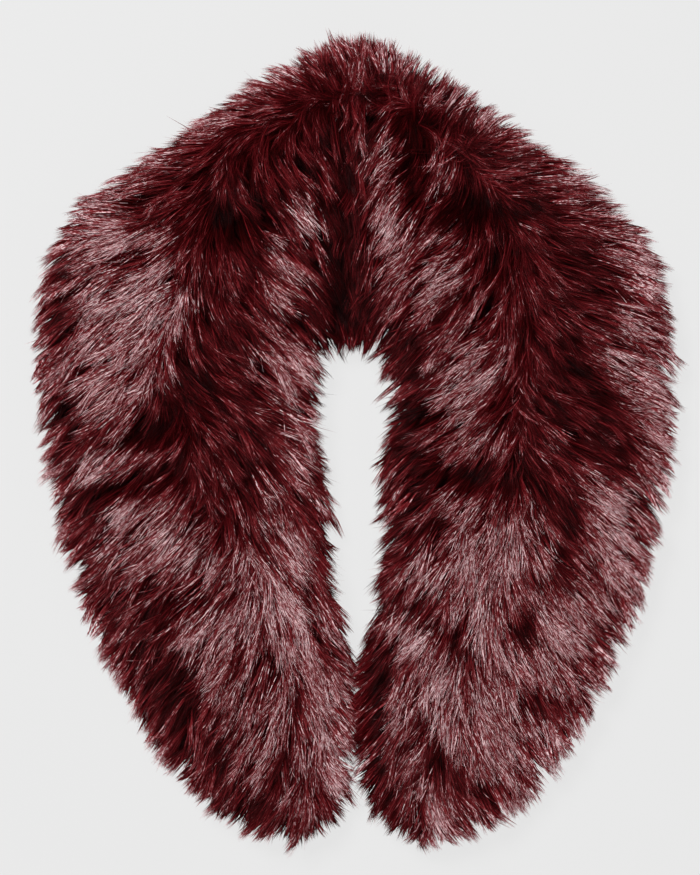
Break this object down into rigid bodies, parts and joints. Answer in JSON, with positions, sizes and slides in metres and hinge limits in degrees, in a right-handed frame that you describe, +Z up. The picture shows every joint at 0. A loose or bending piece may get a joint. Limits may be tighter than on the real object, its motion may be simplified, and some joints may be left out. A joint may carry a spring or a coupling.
{
  "type": "fur collar wrap",
  "caption": "Horseshoe collar of long-pile fur cloth, worn round the neck and shoulders, laid flat and closed with its front ends touching.",
  "frame": {"origin": "middle of the collar's bounding box, on the surface it lies on", "axes": "+Y towards the centre back of the neck, -Y towards the two front ends, +X towards the arm that lies on the right as seen from above, +Z up off the surface"},
  "size_m": [0.4022, 0.5026, 0.0557],
  "materials": {
    "fur": "long glossy burgundy fur pile with frosted highlights",
    "pressed_fur": "the same fur cloth with its pile pressed flat"
  },
  "bodies": {
    "root": {"upper_left": "fur", "upper_right": "fur", "under_left": "pressed_fur", "under_right": "pressed_fur"}
  },
  "joints": []
}
